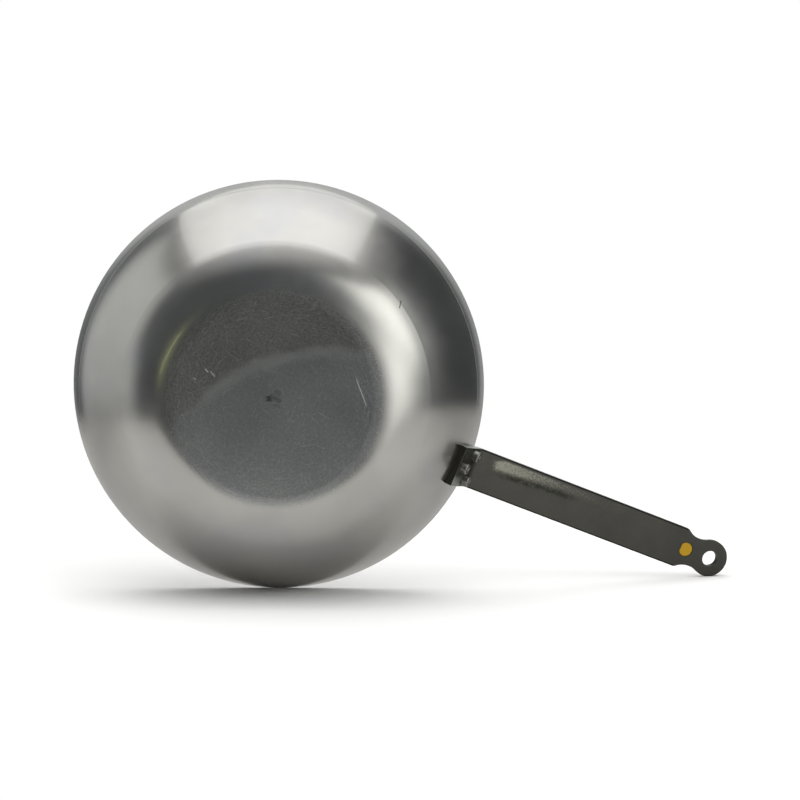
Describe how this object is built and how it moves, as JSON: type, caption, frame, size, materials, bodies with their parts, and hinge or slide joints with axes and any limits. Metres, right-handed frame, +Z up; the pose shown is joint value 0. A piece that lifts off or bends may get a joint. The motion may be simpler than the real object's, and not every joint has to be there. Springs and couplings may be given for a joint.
{
  "type": "carbon steel wok",
  "caption": "Flat-based carbon steel wok with a spun bowl and a riveted steel strip handle that ends in a round hanging eye.",
  "frame": {"origin": "centre of the flat base's underside, where the bowl's axis meets the hob", "axes": "+Z up out of the bowl, -Y along the handle away from the bowl, +X to the right seen from the handle"},
  "size_m": [0.3195, 0.5462, 0.15],
  "materials": {
    "bowl_steel": "satin, spun and lightly scratched",
    "handle_steel": "dark grey semi-matt coating over steel strip",
    "rivet_steel": "dull, hammered",
    "button_resin": "golden yellow resin"
  },
  "bodies": {
    "root": {"bowl": "bowl_steel", "handle": "handle_steel", "rivet_left": "rivet_steel", "rivet_right": "rivet_steel", "rivet_lower": "rivet_steel", "button": "button_resin"}
  },
  "joints": []
}
